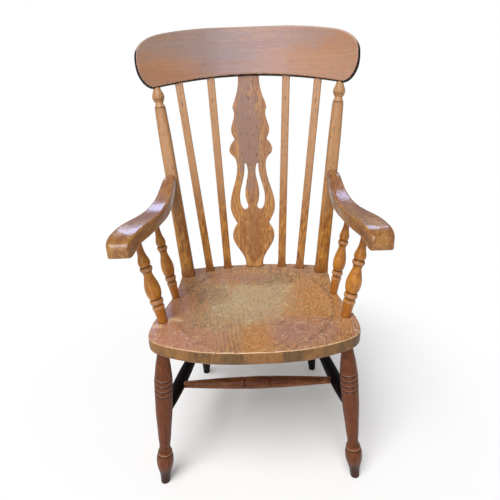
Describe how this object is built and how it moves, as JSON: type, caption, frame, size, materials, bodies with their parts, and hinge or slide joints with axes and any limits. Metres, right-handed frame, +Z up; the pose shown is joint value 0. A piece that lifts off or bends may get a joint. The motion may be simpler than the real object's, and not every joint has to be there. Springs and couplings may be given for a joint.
{
  "type": "captains chair",
  "caption": "High-backed wooden armchair with dished seat, turned legs and arm spindles, laths and a pierced splat under a curved crest rail.",
  "frame": {"origin": "on the floor, under the middle of the chair's outline", "axes": "+Z up, the chair faces -Y, +X to the right of someone who looks at its front"},
  "size_m": [0.6302, 0.6361, 1.1199],
  "materials": {
    "seat_elm": "worn wax polish",
    "crest_elm": "worn wax polish",
    "splat_elm": "worn wax polish",
    "arm_beech": "worn wax polish",
    "back_beech": "worn wax polish",
    "turned_beech": "worn wax polish",
    "leg_beech": "worn wax polish",
    "stretcher_beech": "worn wax polish",
    "peg_wood": "worn wax polish"
  },
  "bodies": {
    "root": {"arm_left": "arm_beech", "arm_peg_left": "peg_wood", "arm_peg_right": "peg_wood", "arm_right": "arm_beech", "crest_rail": "crest_elm", "cross_stretcher": "stretcher_beech", "lath_inner_left": "back_beech", "lath_inner_right": "back_beech", "lath_outer_left": "back_beech", "lath_outer_right": "back_beech", "leg_front_left": "leg_beech", "leg_front_right": "leg_beech", "leg_rear_left": "leg_beech", "leg_rear_right": "leg_beech", "post_left": "back_beech", "post_right": "back_beech", "seat": "seat_elm", "side_stretcher_left": "stretcher_beech", "side_stretcher_right": "stretcher_beech", "spindle_front_left": "turned_beech", "spindle_front_right": "turned_beech", "spindle_rear_left": "turned_beech", "spindle_rear_right": "turned_beech", "splat": "splat_elm"}
  },
  "joints": []
}
